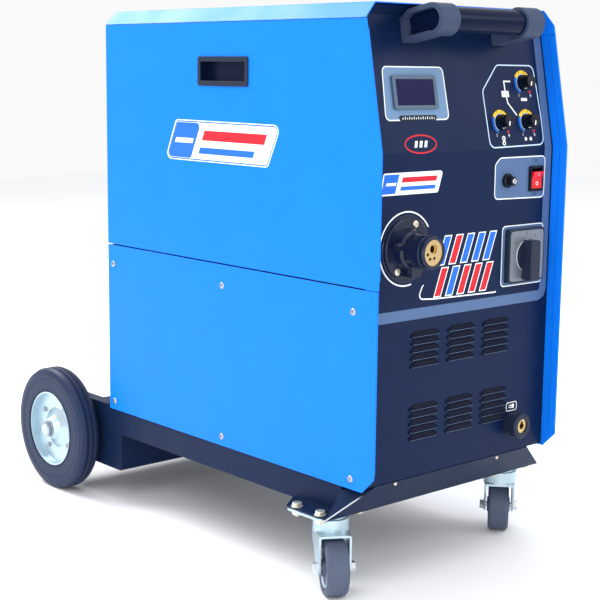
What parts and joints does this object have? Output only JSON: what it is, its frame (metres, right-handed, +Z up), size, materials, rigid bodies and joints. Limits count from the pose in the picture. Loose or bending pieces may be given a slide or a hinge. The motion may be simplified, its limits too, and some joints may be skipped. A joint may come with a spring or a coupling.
{
  "type": "mig welder on cart",
  "caption": "Wire-feed welding power source in a folded steel cabinet on a wheeled cart, with an opening wire door, feeder, controls and cylinder tray.",
  "frame": {"origin": "on the floor under the middle of the machine's bounding box", "axes": "+X is the machine's right, the front panel faces -Y, +Z is up"},
  "size_m": [0.473, 0.8414, 0.7719],
  "materials": {
    "blue_paint": "satin",
    "black_paint": "satin",
    "black_plastic": "matte",
    "black_gloss": "gloss",
    "red_plastic": "gloss",
    "smoked_glass": "polished",
    "zinc": "satin",
    "bright_zinc": "polished",
    "brass": "polished",
    "tyre_rubber": "matte",
    "caster_rubber": "matte",
    "clear_plastic": "gloss",
    "copper_wire": "satin",
    "core_steel": "matte",
    "grey_metal": "satin"
  },
  "bodies": {
    "cart": {"base_pan": "black_paint", "front_apron": "black_paint", "axle_bracket": "black_paint", "lower_left_panel": "blue_paint", "right_side_panel": "blue_paint", "roof_panel": "blue_paint", "front_panel": "black_paint", "rear_panel": "black_paint", "divider_wall": "grey_metal", "cable_gland": "black_plastic", "gas_inlet": "brass", "cylinder_bracket": "black_paint", "handle_brackets": "black_plastic", "handle_tube": "black_plastic", "torch_socket_housing": "black_plastic", "torch_socket_brass": "brass", "earth_socket_body": "black_plastic", "earth_socket_brass": "brass", "meter_bezel": "black_gloss", "meter_window": "smoked_glass", "fuse_base": "black_gloss", "rocker_frame": "black_gloss", "selector_plate": "grey_metal", "control_pots": "grey_metal", "hinge_pins": "zinc", "rear_axle": "zinc", "caster_plates": "bright_zinc", "cart_bolts": "zinc", "panel_screws": "zinc", "feeder_plate": "grey_metal", "feed_motor": "black_plastic", "spool_hub": "black_plastic", "transformer_core": "core_steel", "transformer_coils": "copper_wire", "fan_motor": "black_plastic"},
    "door": {"door": "blue_paint", "door_pull": "black_plastic"},
    "fuse_cap": {"fuse_cap": "black_gloss"},
    "rocker_button": {"rocker_button": "red_plastic"},
    "selector_knob": {"selector_knob": "black_plastic"},
    "knob_top": {"knob_top": "black_gloss"},
    "knob_left": {"knob_left": "black_gloss"},
    "knob_right": {"knob_right": "black_gloss"},
    "wheel_left": {"tyre_left": "tyre_rubber", "rim_left": "zinc"},
    "wheel_right": {"tyre_right": "tyre_rubber", "rim_right": "zinc"},
    "caster_left": {"caster_fork_left": "bright_zinc", "caster_axle_left": "zinc"},
    "caster_right": {"caster_fork_right": "bright_zinc", "caster_axle_right": "zinc"},
    "caster_roller_left": {"caster_wheel_left": "caster_rubber"},
    "caster_roller_right": {"caster_wheel_right": "caster_rubber"},
    "drive_roll": {"drive_roll": "zinc"},
    "pressure_arm": {"pressure_arm": "grey_metal"},
    "pressure_roll": {"pressure_roll": "zinc"},
    "tension_knob": {"tension_knob": "black_plastic"},
    "spool": {"wire_spool": "clear_plastic", "wire_winding": "copper_wire"},
    "fan": {"fan_blades": "black_plastic"}
  },
  "joints": [
    {"name": "door_hinge", "type": "hinge", "parent": "cart", "child": "door", "pos_m": [-0.1785, -0.09575, 0.421], "axis": [0, -1, 0], "range_deg": [0, 95]},
    {"name": "fuse_cap_twist", "type": "hinge", "parent": "cart", "child": "fuse_cap", "pos_m": [0.0847, -0.38125, 0.5408], "axis": [0, -1, 0], "range_deg": [0, 90]},
    {"name": "rocker_tilt", "type": "hinge", "parent": "cart", "child": "rocker_button", "pos_m": [0.1445, -0.36825, 0.5413], "axis": [1, 0, 0], "range_deg": [-20, 0]},
    {"name": "selector_turn", "type": "hinge", "parent": "cart", "child": "selector_knob", "pos_m": [0.123, -0.38125, 0.4358], "axis": [0, -1, 0], "range_deg": [-120, 120]},
    {"name": "knob_top_turn", "type": "hinge", "parent": "cart", "child": "knob_top", "pos_m": [0.1295, -0.35461, 0.67266], "axis": [0, -0.9828, 0.1849], "range_deg": [-60, 210]},
    {"name": "knob_left_turn", "type": "hinge", "parent": "cart", "child": "knob_left", "pos_m": [0.0753, -0.3646, 0.6196], "axis": [0, -0.9828, 0.1849], "range_deg": [-60, 210]},
    {"name": "knob_right_turn", "type": "hinge", "parent": "cart", "child": "knob_right", "pos_m": [0.1295, -0.3646, 0.6196], "axis": [0, -0.9828, 0.1849], "range_deg": [-60, 210]},
    {"name": "wheel_left_spin", "type": "hinge", "parent": "cart", "child": "wheel_left", "pos_m": [-0.2095, 0.32075, 0.1], "axis": [1, 0, 0], "continuous": true},
    {"name": "wheel_right_spin", "type": "hinge", "parent": "cart", "child": "wheel_right", "pos_m": [0.2095, 0.32075, 0.1], "axis": [1, 0, 0], "continuous": true},
    {"name": "caster_left_swivel", "type": "hinge", "parent": "cart", "child": "caster_left", "pos_m": [-0.1715, -0.30475, 0.101], "axis": [0, 0, 1], "continuous": true},
    {"name": "caster_left_roll", "type": "hinge", "parent": "caster_left", "child": "caster_roller_left", "pos_m": [-0.18528, -0.3268, 0.038], "axis": [0.848, -0.5299, 0], "continuous": true},
    {"name": "caster_right_swivel", "type": "hinge", "parent": "cart", "child": "caster_right", "pos_m": [0.1715, -0.30475, 0.101], "axis": [0, 0, 1], "continuous": true},
    {"name": "caster_right_roll", "type": "hinge", "parent": "caster_right", "child": "caster_roller_right", "pos_m": [0.19097, -0.28752, 0.038], "axis": [-0.6626, 0.749, 0], "continuous": true},
    {"name": "drive_roll_spin", "type": "hinge", "parent": "cart", "child": "drive_roll", "pos_m": [-0.109, -0.26375, 0.446], "axis": [1, 0, 0], "continuous": true},
    {"name": "pressure_arm_lift", "type": "hinge", "parent": "cart", "child": "pressure_arm", "pos_m": [-0.096, -0.22375, 0.4854], "axis": [-1, 0, 0], "range_deg": [0, 55]},
    {"name": "pressure_roll_spin", "type": "hinge", "parent": "pressure_arm", "child": "pressure_roll", "pos_m": [-0.109, -0.26375, 0.4728], "axis": [1, 0, 0], "continuous": true},
    {"name": "tension_knob_turn", "type": "hinge", "parent": "pressure_arm", "child": "tension_knob", "pos_m": [-0.109, -0.28875, 0.4898], "axis": [0, 0, 1], "range_deg": [-180, 180]},
    {"name": "spool_spin", "type": "hinge", "parent": "cart", "child": "spool", "pos_m": [-0.115, 0.03225, 0.575], "axis": [1, 0, 0], "continuous": true},
    {"name": "fan_spin", "type": "hinge", "parent": "cart", "child": "fan", "pos_m": [0.068, 0.18045, 0.451], "axis": [0, 1, 0], "continuous": true}
  ],
  "couplings": [
    {"joint": "pressure_roll_spin", "follows": "drive_roll_spin", "ratio": -1.3636}
  ]
}
